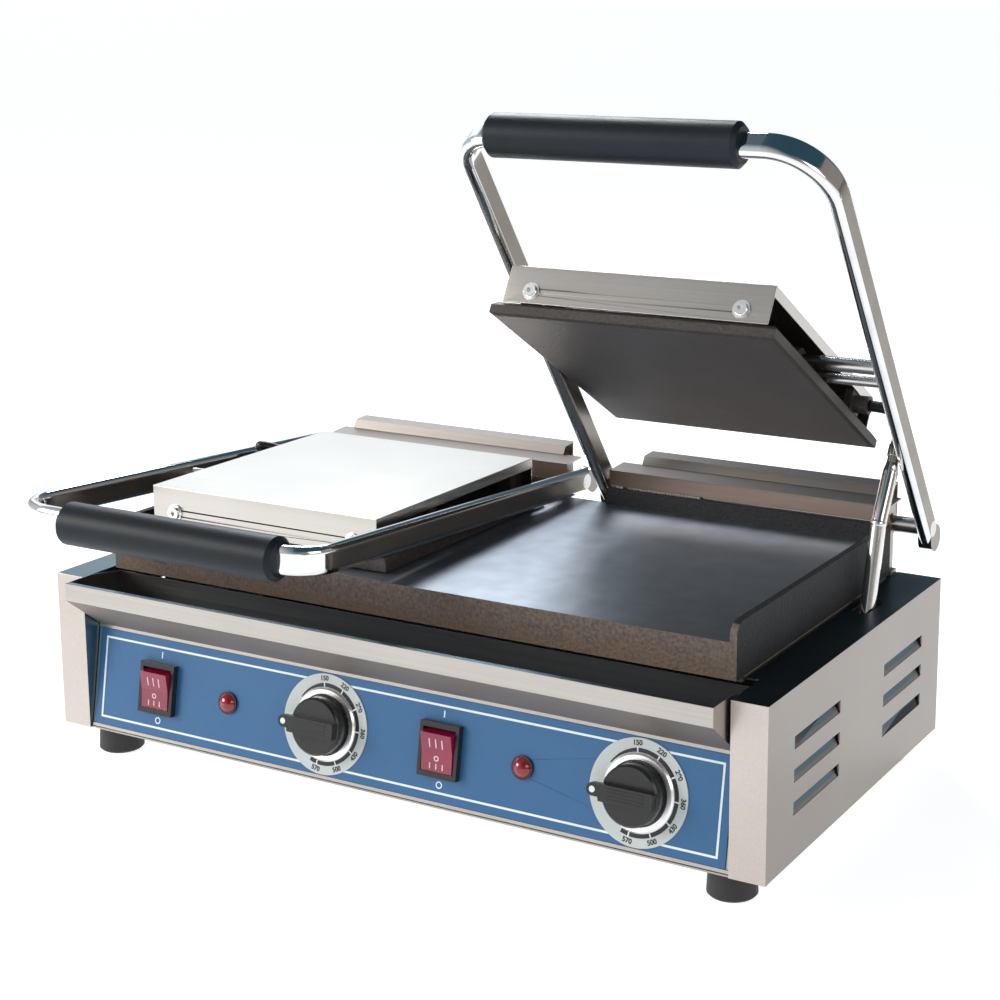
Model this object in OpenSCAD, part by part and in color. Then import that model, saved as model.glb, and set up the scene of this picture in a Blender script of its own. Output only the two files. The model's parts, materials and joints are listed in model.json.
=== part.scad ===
// Double contact grill (panini press): one cabinet with a full-width lower griddle, and two
// independent lift-up heads. The left press is drawn closed and the right press open.
// Frame: +Z up, the front faces -Y, +X is to the right when facing the front.
// Origin: middle of the footprint, at the underside of the feet.

/* [Cabinet] */
// Width over the side panels
body_w = 570; // [540:1:640]
// Depth from the front posts to the rear panel
body_d = 305; // [295:1:360]
// Height of the cabinet without its feet
body_h = 115.5; // [112:0.5:140]
// Thickness of the stainless sheet
sheet = 1.2; // [0.8:0.1:1.5]
// Width of each front post
post_w = 25; // [20:1:32]
// Width of the top flange beside the griddle
flange_w = 33; // [30:1:38]

/* [Feet] */
// Height of the rubber feet
foot_h = 21; // [15:1:40]
// Diameter of the rubber feet
foot_d = 33; // [28:1:44]
// Distance of a foot centre from the side of the cabinet
foot_inset_x = 33; // [30:1:60]
// Distance of a foot centre from the front and the rear
foot_inset_y = 24; // [23:1:60]

/* [Lower griddle] */
// Width of the cast griddle
griddle_w = 503; // [480:1:503]
// Depth of the cast griddle
griddle_d = 262; // [250:1:262]
// Setback of the griddle behind the front posts
griddle_front = 26; // [22:1:30]
// Height of the casting
griddle_h = 37; // [34:1:42]
// Height of the cooking surface above the underside of the casting
surface_h = 24.5; // [21:0.5:28]
// Thickness of the raised side and back walls
griddle_wall = 5; // [4:0.5:8]
// Thickness of the heat seal below the griddle
seal_t = 2; // [1:0.5:3]

/* [Levers] */
// Distance from the hinge shaft to the middle of the grip
lever_len = 354; // [330:1:380]
// Distance of the inner arm from the middle of the machine
arm_in = 12; // [9:0.5:14]
// Distance of the outer arm from the middle of the machine
arm_out = 274.5; // [268:0.5:279]
// Width of the flat-oval tube in the plane of the loop
tube_w = 10; // [8:0.5:12]
// Height of the flat-oval tube across the loop
tube_h = 20; // [16:0.5:24]
// Wall of the flat-oval tube
tube_wall = 1.5; // [1:0.1:2]
// Bend radius at the inner corner of the loop
bend_in = 24; // [18:1:26]
// Bend radius at the outer corner of the loop
bend_out = 40; // [25:1:46]
// Angle of a closed lever above level
closed_angle = 3.5; // [3:0.1:5]
// Angle of an open lever above level
open_angle = 54.2; // [50:0.1:58]
// Length of the rubber grip
grip_len = 184; // [150:1:190]
// Diameter of the rubber grip
grip_d = 30; // [26:1:34]

/* [Hinges] */
// Diameter of the hinge shafts
shaft_d = 12; // [10:0.5:13]
// Distance of the hinge shafts behind the front posts
hinge_y = 300; // [299:0.5:302]
// Height of the hinge shafts above the cabinet floor
hinge_z = 153; // [151:0.5:156]
// Running clearance on radius of shafts and pins
run_gap = 0.06; // [0.02:0.01:0.1]

/* [Heads] */
// Distance of the middle of each press from the middle of the machine
press_x = 127.5; // [126:0.5:129]
// Side of the square upper plate
plate_size = 214; // [200:1:216]
// Thickness of the upper plate
plate_t = 10; // [8:0.5:11]
// Distance from the hinge shaft to the head pivot
pivot_r = 164; // [160:1:168]
// Distance of the pivot behind the front edge of the plate
pivot_back = 95; // [90:1:107]
// Tilt of an open head below its lever
head_drop = 20.1; // [15:0.1:22]
// Diameter of the pivot rod
rod_d = 10; // [8:0.5:11]
// Width of the head cover
cover_w = 199; // [180:1:204]
// Height of the head cover above the plate
cover_h = 27.4; // [26:0.1:32]
// Diameter of the wire conduit tube
conduit_d = 11; // [9:0.5:11]

/* [Controls] */
// Lean of the control panel from upright
panel_lean = 9.9; // [6:0.1:12]
// Height of the control panel along its slope
panel_h = 76; // [74:1:78]
// Distance between the two sets of controls
control_pitch = 243.5; // [240:0.5:246]
// Place of the left thermostat from the middle of the machine
dial_x = -50; // [-54:0.5:-46]
// Distance of each pilot lamp to the left of its thermostat
lamp_step = 85; // [75:0.5:90]
// Distance of each switch to the left of its thermostat
switch_step = 148; // [140:0.5:155]
// Diameter of the dial scale
dial_d = 70; // [60:1:72]
// Diameter of the knob skirt
knob_d = 40; // [36:1:44]
// Depth of the knob
knob_h = 19; // [16:1:24]
// Distance that the drip lip stands ahead of the posts
lip_out = 20; // [12:1:30]

/* [Hidden] */

$fn = 48;
eps = 0.01;
gap = 0.3;

// Cabinet frame: y from the face of the posts, z from the underside of the cabinet.
arm_tail = 10;
grip_front = hinge_y - lever_len * cos(closed_angle) - grip_d / 2;
tail_rear = hinge_y + arm_tail + tube_h / 2;
guard_rear = hinge_y + 29;
front_y = -(grip_front + max(tail_rear, guard_rear)) / 2;

half_w = body_w / 2;
post_x = half_w - post_w;
flange_x = half_w - flange_w;
deck_z = body_h - sheet;
deck_front = 41;
griddle_z = body_h + seal_t;
griddle_rear = griddle_front + griddle_d;
surface_z = griddle_z + surface_h;
board_x = griddle_w / 2 - 7.5;
board_t = 6;
open_turn = open_angle - closed_angle;

bracket_t = 6;
bracket_r = shaft_d / 2 + 3.5;
bracket_in_x = arm_in + tube_w / 2 + 7;
bracket_out_x = arm_out - tube_w / 2 - 27.5;
bushing_r = shaft_d / 2 + 1.2;
guard_in = arm_in + tube_w / 2 + 2;
guard_out = arm_out - tube_w / 2 - 19.5;
guard_y = griddle_rear + 1;
guard_z = hinge_z + 15;

plate_drop = pivot_r * sin(closed_angle) + hinge_z - surface_z - gap;
plate_top = plate_t - plate_drop;
plate_front = -pivot_back;
plate_rear = plate_size - pivot_back;
cover_top = plate_top + cover_h;
cover_rear = plate_rear - 5;
lug_x = cover_w / 2 - 18;
lug_t = 10;
cover_screw_x = 79;
stop_y = rod_d + 2;
stop_z = -2.2;
stop_r = 3.5;
lug_r = rod_d / 2 + 4;

conduit_x = arm_out - tube_w / 2 - conduit_d / 2 - 0.5;
conduit_r = 76;
conduit_lift = 3.2;
conduit_len = 142;
conduit_pin_r = 2.5;
elbow_bead = 0.15;
neck_r = 4.2;
neck_end = 8;
straight_len = 54;
kink = 16;
slot_half = 12;
collar_r = 5;
hole_y = 215;
inlet_y = plate_rear - 34;
inlet_z = 1;
inlet_out = plate_size / 2 + 2;

panel_y = 1.6;
panel_z = sheet + 2 * gap;
overlay_t = 1;
fascia_half = post_x - 0.6;
row_s = 38;
control_r = 5;
spindle_r = 3;
lamp_r = 8;
grip_w = 11;
nose_w = 8.5;
nose_out = 25.8;
disc_h = 12.5;
bezel_r = 25.6;
tray_half = post_x - 2;
tray_floor = panel_z + panel_h * cos(panel_lean) + gap;
tray_back = deck_front - 2;
lip_top = body_h + 1;
lip_low = lip_top - 13;

louver_len = 74;
louver_h = 8.5;
louver_pitch = 21.8;
louver_top = 83;

switch_w = 31;
switch_h = 37;
rocker_w = 24;
rocker_h = 28;
rocker_tilt = 10;
rocker_pin_r = 1.5;

module cabinet() translate([0, front_y, foot_h]) children();
module both() { children(); mirror([1, 0, 0]) children(); }

// Frame of the sloping panel: x across, y up the slope, z out of the face.
module on_panel(x, s, out = 0)
    cabinet() translate([0, panel_y, panel_z]) rotate([90 - panel_lean, 0, 0])
        translate([x, s, out]) children();

// Frame of a lever: origin on the hinge shaft, arms along -Y, at the given angle.
module on_hinge(angle) cabinet() translate([0, hinge_y, hinge_z]) rotate([-angle, 0, 0]) children();

// Frame of a head: origin on its pivot, for a lever at the given angle.
module on_head(angle) {
    drop = closed_angle + head_drop * (angle - closed_angle) / open_turn;
    on_hinge(angle) translate([0, -pivot_r, 0]) rotate([drop, 0, 0]) children();
}

// A right-hand press part, drawn for the left (side = -1) or the right (side = 1).
module press(side) if (side > 0) children(); else mirror([1, 0, 0]) children();
function lever_angle(side) = side > 0 ? open_angle : closed_angle;

module bar_x(x1, x2, r) translate([x1, 0, 0]) rotate([0, 90, 0]) cylinder(h = x2 - x1, r = r);

module box(x, y, z) translate([x[0], y[0], z[0]]) cube([x[1] - x[0], y[1] - y[0], z[1] - z[0]]);

// Extrudes a (y, z) outline along x from x1 to x2.
module along_x(x1, x2) translate([x1, 0, 0]) rotate([90, 0, 90]) linear_extrude(x2 - x1) children();

// ---------------------------------------------------------------- cabinet

// One louver: a slot in the side wall and a flap pressed inwards from its lower edge.
module louver_cut(y, top)
    box([half_w - 3 * sheet, half_w + 1], [y, y + louver_len], [top - louver_h, top]);

module louver_flap(y, top) {
    low = top - louver_h;
    translate([0, y + louver_len - 2, 0]) rotate([90, 0, 0]) linear_extrude(louver_len - 4)
        polygon([[half_w, low - 0.5], [half_w - 5, top], [half_w - 5 - sheet, top],
                 [half_w - sheet, low - 2]]);
}

module louvers() for (y = [41, body_d - 111.5], i = [0 : 2])
    if ($children > 0) translate([0, y, louver_top - i * louver_pitch]) children();

module side_panel() cabinet() {
    difference() {
        union() {
            box([half_w - sheet, half_w], [0, body_d], [0, body_h]);
            box([post_x, half_w], [0, sheet], [0, body_h]);
            box([post_x, post_x + sheet], [0, 18], [sheet, body_h]);
            box([flange_x, half_w], [deck_front, body_d], [deck_z, body_h]);
            box([post_x, half_w], [0, deck_front + eps], [deck_z, body_h]);
        }
        louvers() louver_cut(0, 0);
        hull() for (dy = [-slot_half, slot_half]) translate([conduit_x, hole_y + dy, deck_z - 1])
            cylinder(h = 4, r = conduit_d / 2 + 0.8, $fn = 32);
    }
    louvers() louver_flap(0, 0);
}
module left_side_panel() color("silver") mirror([1, 0, 0]) side_panel();
module right_side_panel() color("silver") side_panel();

module rear_panel() color("silver") cabinet() difference() {
    box([-half_w + sheet, half_w - sheet], [body_d - sheet, body_d], [sheet, deck_z]);
    for (i = [-7 : 7]) box([i * 24 - 7, i * 24 + 7], [body_d - 3, body_d + 1], [66, 71]);
    translate([210, body_d + 1, 32]) rotate([90, 0, 0]) cylinder(h = 4, r = 8.2);
}

module foot_places() for (x = [-1, 1], y = [foot_inset_y, body_d - foot_inset_y])
    translate([x * (half_w - foot_inset_x), y, 0]) children();

module bottom_plate() color("silver") cabinet() difference() {
    box([-half_w + sheet, half_w - sheet], [sheet, body_d - sheet], [0, sheet]);
    for (i = [-7 : 7], y = [110, 170]) box([i * 26 - 8, i * 26 + 8], [y, y + 5], [-1, 3]);
    foot_places() translate([0, 0, -1]) cylinder(h = 4, r = 2.6);
}

module top_deck() color("dimgray") cabinet() difference() {
    box([-flange_x, flange_x], [deck_front, body_d - sheet], [deck_z, body_h]);
    box([-flange_x + 16, flange_x - 16], [60, 268], [deck_z - 1, body_h + 1]);
}

module front_fascia() color("silver") {
    run = panel_h * sin(panel_lean);
    rise = panel_h * cos(panel_lean);
    difference() {
        union() {
            on_panel(-fascia_half, 0, -sheet - overlay_t) cube([2 * fascia_half, panel_h, sheet]);
            cabinet() {
                box([-fascia_half, fascia_half], [panel_y + 1, 20], [sheet, 2 * sheet]);
                translate([0, 0, panel_z + rise])
                    box([-fascia_half, fascia_half], [panel_y + run, tray_back], [-sheet, 0]);
            }
            for (s = [0, panel_h - 2.2])
                on_panel(-fascia_half, s, -overlay_t - sheet)
                    cube([2 * fascia_half, 2.2, sheet + overlay_t]);
        }
        control_cuts();
    }
}

module control_cuts() for (i = [0, 1]) {
    x = dial_x + i * control_pitch;
    on_panel(x, row_s, -8) cylinder(h = 12, r = control_r + 0.2);
    on_panel(x - lamp_step, row_s, -8) cylinder(h = 12, r = control_r + 0.2);
    on_panel(x - switch_step, row_s, 0) translate([-13.5, -16.5, -8]) cube([27, 33, 12]);
}

module control_overlay() color("steelblue") difference() {
    on_panel(-fascia_half + 2.5, 2.4, -overlay_t)
        cube([2 * fascia_half - 5, panel_h - 4.8, overlay_t]);
    control_cuts();
}

module panel_screws() color("gainsboro") cabinet() both() {
    for (z = [18, 98]) translate([half_w - 50, body_d, z]) rotate([-90, 0, 0]) {
        cylinder(h = 1.8, r = 3.4);
        translate([0, 0, -sheet - 6]) cylinder(h = 6, r = 1.8);
    }
}

module feet() color("black") cabinet() foot_places() translate([0, 0, -foot_h]) difference() {
    rotate_extrude() polygon([[0, 0], [foot_d / 2 - 1.5, 0], [foot_d / 2, 1.5],
        [foot_d / 2 - 1, foot_h - 1], [foot_d / 2 - 2, foot_h], [0, foot_h]]);
    translate([0, 0, -1]) cylinder(h = 9, r = 6);
    cylinder(h = foot_h + 1, r = 2.6);
}

module foot_screws() color("gray") cabinet() foot_places() translate([0, 0, 8 - foot_h]) {
    translate([0, 0, -4]) cylinder(h = 4, r = 4.5);
    cylinder(h = foot_h - 8 + 6, r = 2.5);
}

// ---------------------------------------------------------------- lower griddle

// Outline of a side wall, with a rounded front top corner.
module wall_outline() {
    round_r = 9;
    difference() {
        square([griddle_d, griddle_h]);
        translate([-1, griddle_h - round_r]) square([round_r + 1, round_r + 1]);
    }
    translate([round_r, griddle_h - round_r]) circle(r = round_r);
}

module lower_griddle() color([0.2, 0.19, 0.2]) cabinet() translate([0, griddle_front, griddle_z]) {
    difference() {
        along_x(-griddle_w / 2, griddle_w / 2) wall_outline();
        box([griddle_wall - griddle_w / 2, griddle_w / 2 - griddle_wall],
            [-1, griddle_d - griddle_wall], [surface_h, griddle_h + 1]);
        box([-griddle_w / 2 + 17, griddle_w / 2 - 17], [34, griddle_d - 20], [-1, surface_h - 10]);
        box([-guard_in, guard_in], [griddle_d - griddle_wall - 1, griddle_d + 1],
            [surface_h, griddle_h + 1]);
    }
}

module griddle_seal() color("wheat") cabinet() difference() {
    box([-griddle_w / 2 + 2, griddle_w / 2 - 2], [deck_front + 1, griddle_rear - 2],
        [body_h, griddle_z]);
    box([-griddle_w / 2 + 17, griddle_w / 2 - 17], [60, 268], [body_h - 1, griddle_z + 1]);
}

// A flat serpentine of tube: straight runs along x joined by half rings.
module serpentine(runs, length, pitch, r) {
    for (i = [0 : runs - 1]) translate([0, i * pitch, 0]) bar_x(-length / 2, length / 2, r);
    for (i = [0 : runs - 2]) {
        side = i % 2 == 0 ? 1 : -1;
        translate([side * length / 2, (i + 0.5) * pitch, 0]) rotate([0, 0, side > 0 ? -90 : 90])
            rotate_extrude(angle = 180) translate([pitch / 2, 0]) circle(r = r);
    }
}

element_z = griddle_z + surface_h - 14.3;
module lower_elements() color("dimgray") cabinet() for (x = [-1, 1])
    translate([x * press_x, 84, element_z]) serpentine(5, 160, 40, 4);

module element_clamps() color("gray") cabinet() for (x = [-1, 1], dx = [-50, 50]) {
    cx = x * press_x + dx;
    difference() {
        box([cx - 8, cx + 8], [66, 262], [element_z - 7, element_z - 4.2]);
        for (y = [104, 224]) translate([cx, y, element_z - 8]) cylinder(h = 6, r = 3.2);
    }
    for (y = [104, 224]) translate([cx, y, element_z - 7]) cylinder(h = 11.3, r = 3);
}

module insulation_board() color("lightyellow") cabinet()
    box([-board_x, board_x], [50, 290], [deck_z - board_t, deck_z]);

// ---------------------------------------------------------------- drip tray

module tray_sheet(t) polygon([
    [-lip_out, lip_top], [-lip_out, lip_low], [14, tray_floor], [tray_back, tray_floor],
    [tray_back, deck_z - 3], [tray_back - t, deck_z - 3], [tray_back - t, tray_floor + t],
    [14 + t / 2, tray_floor + t], [-lip_out + t, lip_low + t / 2], [-lip_out + t, lip_top - t],
    [-lip_out + 4, lip_top - t], [-lip_out + 4, lip_top]]);

module tray_end() polygon([
    [-lip_out, lip_top], [-lip_out, lip_low], [14, tray_floor], [tray_back, tray_floor],
    [tray_back, deck_z - 3], [6, lip_top]]);

module drip_tray() color("silver") cabinet() {
    along_x(-tray_half, tray_half) tray_sheet(1);
    both() along_x(tray_half - 1, tray_half) tray_end();
}

// ---------------------------------------------------------------- controls

module each_set() for (i = [0, 1]) translate([i * control_pitch, 0, 0]) children();

module switch_housings() color([0.06, 0.06, 0.07]) each_set()
    on_panel(dial_x - switch_step, row_s, 0) difference() {
        union() {
            translate([-switch_w / 2, -switch_h / 2, 0]) cube([switch_w, switch_h, 5]);
            translate([-13.3, -16.3, -24]) cube([26.6, 32.6, 24]);
        }
        translate([-rocker_w / 2 - 0.8, -rocker_h / 2 - 0.8, -14])
            cube([rocker_w + 1.6, rocker_h + 1.6, 30]);
        translate([-16, 0, 0.5]) bar_x(0, 32, rocker_pin_r + run_gap);
    }

// A rocker, tipped about its cross pin.
module rocker(i) color([0.75, 0.1, 0.25])
    on_panel(dial_x - switch_step + i * control_pitch, row_s, 0.5)
    rotate([rocker_tilt, 0, 0]) {
        along_x(-rocker_w / 2, rocker_w / 2)
            polygon([[-rocker_h / 2 + 1, -3], [-rocker_h / 2 + 0.6, 7], [0, 5.6],
                [rocker_h / 2 - 0.6, 7], [rocker_h / 2 - 1, -3], [0, -6]]);
        bar_x(-rocker_w / 2 - 0.7, rocker_w / 2 + 0.7, rocker_pin_r);
    }
module left_rocker() rocker(0);
module right_rocker() rocker(1);

module lamp_bezels() color([0.1, 0.1, 0.1]) each_set() on_panel(dial_x - lamp_step, row_s, 0)
    difference() {
        union() {
            cylinder(h = 1.6, r = lamp_r);
            translate([0, 0, -20]) cylinder(h = 20, r = control_r);
        }
        translate([0, 0, -4]) cylinder(h = 8, r = 4.5);
    }

module lamp_lenses() color("crimson") each_set() on_panel(dial_x - lamp_step, row_s, 0) {
    translate([0, 0, -4]) cylinder(h = 5.6, r = 4.4);
    translate([0, 0, 1.6]) intersection() {
        translate([0, 0, -3]) sphere(r = 7.4);
        cylinder(h = 6, r = lamp_r - 1.3);
    }
}

module dial_scales() color("gainsboro") each_set() on_panel(dial_x, row_s, 0) difference() {
    cylinder(h = 0.8, r = dial_d / 2, $fn = 96);
    translate([0, 0, -1]) cylinder(h = 3, r = control_r + 0.2);
}

module dial_bezels() color("white") each_set() on_panel(dial_x, row_s, 0.8) {
    rotate_extrude($fn = 96) polygon([[knob_d / 2 + 0.6, 0], [bezel_r, 0], [bezel_r, 0.8],
        [bezel_r - 1.2, 2], [knob_d / 2 + 1.4, 2], [knob_d / 2 + 0.6, 1.4]]);
}

module thermostats() color([0.85, 0.83, 0.75]) each_set()
    on_panel(dial_x, row_s, -overlay_t - sheet) difference() {
        union() {
            translate([-19, -17, -26]) cube([38, 34, 26]);
            cylinder(h = 3.2, r = control_r);
        }
        translate([0, 0, -16]) cylinder(h = 24, r = spindle_r + run_gap);
    }

module thermostat_shaft(i) color("silver") on_panel(dial_x + i * control_pitch, row_s, -15)
    cylinder(h = 15 + knob_h - 5, r = spindle_r);
module left_thermostat_shaft() thermostat_shaft(0);
module right_thermostat_shaft() thermostat_shaft(1);

// A skirted pointer knob, its bar lying towards nine o'clock.
module knob(i) color([0.07, 0.07, 0.08]) on_panel(dial_x + i * control_pitch, row_s, 1.4)
    difference() {
        union() {
            rotate_extrude() polygon([[0, 0], [knob_d / 2, 0], [knob_d / 2, disc_h - 1.5],
                [knob_d / 2 - 1.5, disc_h], [0, disc_h]]);
            translate([0, 0, 4]) intersection() {
                translate([-knob_d / 2 - 1, -grip_w / 2, 0]) cube([knob_d, grip_w, knob_h - 5.4]);
                cylinder(h = knob_h, r = knob_d / 2 - 0.5);
            }
            translate([0, 0, disc_h - 4]) {
                translate([-nose_out, 0, 0]) cylinder(h = 4.5, r = nose_w / 2);
                translate([-nose_out, -nose_w / 2, 0]) cube([nose_out, nose_w, 4.5]);
            }
        }
        translate([0, 0, -1]) cylinder(h = knob_h - 4.8, r = spindle_r + run_gap);
    }
module left_knob() knob(0);
module right_knob() knob(1);

module terminal_block() color("ivory") cabinet() difference() {
    box([180, 240], [250, 272], [sheet, sheet + 20]);
    for (i = [0 : 4]) translate([186 + i * 12, 261, sheet + 8]) cylinder(h = 14, r = 3.2);
}

module mains_gland() color([0.1, 0.1, 0.1]) cabinet() translate([210, body_d, 32])
    rotate([-90, 0, 0]) difference() {
        union() {
            translate([0, 0, -sheet - 8]) cylinder(h = 16, r = 8);
            cylinder(h = 5, r = 12, $fn = 6);
            translate([0, 0, 5]) cylinder(h = 10, r1 = 10, r2 = 7.5);
        }
        translate([0, 0, -12]) cylinder(h = 40, r = 4.5);
    }

// ---------------------------------------------------------------- hinges

module bracket_places() for (x = [bracket_in_x, bracket_out_x]) translate([x, 0, 0]) children();

module hinge_brackets() color("gray") cabinet() both() bracket_places() difference() {
    union() {
        along_x(0, bracket_t) translate([hinge_y, hinge_z]) circle(r = bracket_r);
        box([0, bracket_t], [hinge_y - 8, body_d - sheet - 0.5], [body_h, hinge_z]);
        box([0, bracket_t], [hinge_y - 7, hinge_y + 7], [hinge_z, guard_z - sheet]);
        box([-3, bracket_t + 3], [hinge_y - 8, body_d - sheet - 0.5], [body_h, body_h + 3]);
    }
    translate([-1, hinge_y, hinge_z]) bar_x(0, bracket_t + 2, bushing_r);
}

module hinge_bushings() color("peru") cabinet() both() bracket_places()
    translate([0, hinge_y, hinge_z]) difference() {
        bar_x(-1, bracket_t + 1, bushing_r);
        bar_x(-2, bracket_t + 2, shaft_d / 2 + run_gap);
    }

module hinge_guard() color("rosybrown") cabinet() {
    step_y = hinge_y + 12;
    along_x(guard_in, guard_out) polygon([
        [guard_y, hinge_z + 3], [guard_y, guard_z], [step_y, guard_z + 1.5],
        [step_y, guard_z + 1.5 - sheet], [guard_y + sheet, guard_z - sheet],
        [guard_y + sheet, hinge_z + 3]]);
    along_x(guard_in + 17, guard_out - 9) polygon([
        [step_y - 1, guard_z + 1.4], [step_y + 3, guard_z + 8], [guard_rear, guard_z + 9],
        [guard_rear, hinge_z - 3], [guard_rear - sheet, hinge_z - 3],
        [guard_rear - sheet, guard_z + 9 - sheet], [step_y + 3.8, guard_z + 8 - sheet],
        [step_y, guard_z + 1.5 - sheet], [step_y - 1, guard_z + 1.4 - sheet]]);
}
module left_hinge_guard() mirror([1, 0, 0]) hinge_guard();
module right_hinge_guard() hinge_guard();

// A close-wound torsion spring, shown as its stacked turns.
module torsion_spring() color("dimgray") cabinet() translate([0, hinge_y, hinge_z]) {
    wire = 2.6;
    turns = 24;
    start = bracket_in_x + bracket_t + 4;
    translate([start, 0, 0]) rotate([0, 90, 0]) rotate_extrude() {
        for (i = [0 : turns - 1]) translate([shaft_d / 2 + 0.5 + wire / 2, (i + 0.5) * wire])
            circle(r = wire / 2, $fn = 16);
        translate([shaft_d / 2 + 0.9, 0]) square([wire - 0.8, turns * wire]);
    }
    box([start - 2.8, start + 1.4], [shaft_d / 2 + 1, shaft_d / 2 + 2.4], [-1.2, 1.2]);
}
module left_spring() mirror([1, 0, 0]) torsion_spring();
module right_spring() torsion_spring();

// ---------------------------------------------------------------- levers

module tube_outline(inset) {
    w = tube_w - 2 * inset;
    h = tube_h - 2 * inset;
    square([w, h - w], center = true);
    for (s = [-1, 1]) translate([0, s * (h - w) / 2]) circle(r = w / 2);
}
module tube_ring() difference() {
    tube_outline(0);
    tube_outline(tube_wall);
}

module lever() color("gainsboro") difference() {
    union() {
        for (arm = [[arm_in, bend_in], [arm_out, bend_out]])
            translate([arm[0], arm_tail, 0]) rotate([90, 0, 0])
                linear_extrude(lever_len + arm_tail - arm[1]) tube_ring();
        translate([arm_in + bend_in, -lever_len + bend_in, 0]) rotate([0, 0, 180])
            rotate_extrude(angle = 90) translate([bend_in, 0]) tube_ring();
        translate([arm_out - bend_out, -lever_len + bend_out, 0]) rotate([0, 0, -90])
            rotate_extrude(angle = 90) translate([bend_out, 0]) tube_ring();
        translate([arm_in + bend_in, -lever_len, 0]) rotate([90, 0, 90])
            linear_extrude(arm_out - arm_in - bend_in - bend_out) tube_ring();
        for (x = [arm_in, arm_out]) translate([x - tube_w / 2, 0, 0]) {
            translate([0, arm_tail, 0]) bar_x(0, tube_w, tube_h / 2);
            bar_x(tube_wall, tube_w - tube_wall, shaft_d / 2 + 2);
        }
    }
    bar_x(0, half_w + 5, shaft_d / 2 + run_gap);
    conduit_pivot() bar_x(-4, 3, conduit_pin_r + run_gap);
}
module left_lever() press(-1) on_hinge(closed_angle) lever();
module right_lever() press(1) on_hinge(open_angle) lever();

module grip() color([0.06, 0.06, 0.07]) translate([press_x, -lever_len, 0]) difference() {
    rotate([0, 90, 0]) rotate_extrude() polygon([[0, -grip_len / 2], [grip_d / 2 - 3, -grip_len / 2],
        [grip_d / 2, 3 - grip_len / 2], [grip_d / 2, grip_len / 2 - 3],
        [grip_d / 2 - 3, grip_len / 2], [0, grip_len / 2]]);
    translate([-grip_len / 2 - 1, 0, 0]) rotate([90, 0, 90]) linear_extrude(grip_len + 2)
        tube_outline(0);
}
module left_grip() press(-1) on_hinge(closed_angle) grip();
module right_grip() press(1) on_hinge(open_angle) grip();

module hinge_shaft() color("lightgray")
    bar_x(arm_in - tube_w / 2, arm_out + tube_w / 2, shaft_d / 2);
module left_hinge_shaft() press(-1) on_hinge(closed_angle) hinge_shaft();
module right_hinge_shaft() press(1) on_hinge(open_angle) hinge_shaft();

// Rod that carries the head, with the stop pin beside it on the outer arm.
module pivot_rod() color("lightgray") {
    translate([0, -pivot_r, 0]) bar_x(arm_in + tube_w / 2, arm_out - tube_w / 2, rod_d / 2);
    translate([0, stop_y - pivot_r, stop_z])
        bar_x(press_x + cover_w / 2 - 9, arm_out - tube_w / 2, stop_r);
}
module left_pivot_rod() press(-1) on_hinge(closed_angle) pivot_rod();
module right_pivot_rod() press(1) on_hinge(open_angle) pivot_rod();

// ---------------------------------------------------------------- heads

module lug(x) translate([x - lug_t / 2, 0, 0]) {
    bar_x(0, lug_t, lug_r);
    box([0, lug_t], [-lug_r, lug_r], [plate_top - eps, 0]);
}

module head_plate() color([0.3, 0.28, 0.27]) difference() {
    union() {
        hull() {
            box([press_x - plate_size / 2 + 3, press_x + plate_size / 2 - 3],
                [plate_front + 3, plate_rear - 3], [-plate_drop, plate_top]);
            box([press_x - plate_size / 2, press_x + plate_size / 2],
                [plate_front, plate_rear], [1 - plate_drop, plate_top - 3]);
        }
        lug(press_x - lug_x);
        lug(press_x + lug_x);
        for (x = [-1, 1], y = [plate_front + 2.2, cover_rear - 9.2])
            translate([press_x + x * cover_screw_x, 0, plate_top])
                box([-6, 6], [y, y + 8], [-eps, 18]);
        box([press_x + plate_size / 2 - 15, press_x + plate_size / 2 - 9],
            [inlet_y - 9, inlet_y + 9], [plate_top - eps, inlet_z + 8]);
        translate([0, inlet_y, inlet_z])
            bar_x(press_x + plate_size / 2 - 12, press_x + inlet_out, 6.5);
    }
    bar_x(press_x - lug_x - lug_t, press_x + lug_x + lug_t, rod_d / 2 + run_gap);
    translate([0, inlet_y, inlet_z])
        bar_x(press_x + plate_size / 2 - 20, press_x + inlet_out + 1, 4.2);
    for (x = [-1, 1]) translate([press_x + x * cover_screw_x, plate_front, plate_top + 9])
        rotate([-90, 0, 0]) cylinder(h = 9, r = 2.5);
}
module left_head_plate() press(-1) on_head(closed_angle) head_plate();
module right_head_plate() press(1) on_head(open_angle) head_plate();

module head_cover() color("silver") {
    x1 = press_x - cover_w / 2;
    x2 = press_x + cover_w / 2;
    y1 = plate_front + 1;
    difference() {
        box([x1, x2], [y1, cover_rear], [plate_top, cover_top]);
        box([x1 + sheet, x2 - sheet], [y1 + sheet, cover_rear - sheet],
            [plate_top - 1, cover_top - sheet]);
        for (x = [x1 - 1, x2 - 3]) translate([x, 0, 0])
            box([0, 4], [y1 + sheet, cover_rear - sheet], [plate_top - 1, cover_top - 8]);
        for (x = [-1, 1]) translate([press_x + x * cover_screw_x, y1 - 1, plate_top + 9])
            rotate([-90, 0, 0]) cylinder(h = 4, r = 2.6);
    }
}
module left_head_cover() press(-1) on_head(closed_angle) head_cover();
module right_head_cover() press(1) on_head(open_angle) head_cover();

module cover_screws() color("gainsboro") for (x = [-1, 1])
    translate([press_x + x * cover_screw_x, plate_front + 1, plate_top + 9]) rotate([90, 0, 0]) {
        difference() {
            union() {
                cylinder(h = 1, r = 6.2);
                cylinder(h = 3.4, r = 4.6);
            }
            translate([0, 0, 1.4]) cylinder(h = 4, r = 2, $fn = 6);
        }
        translate([0, 0, -8]) cylinder(h = 8, r = 2.4);
    }
module left_cover_screws() press(-1) on_head(closed_angle) cover_screws();
module right_cover_screws() press(1) on_head(open_angle) cover_screws();

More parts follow.
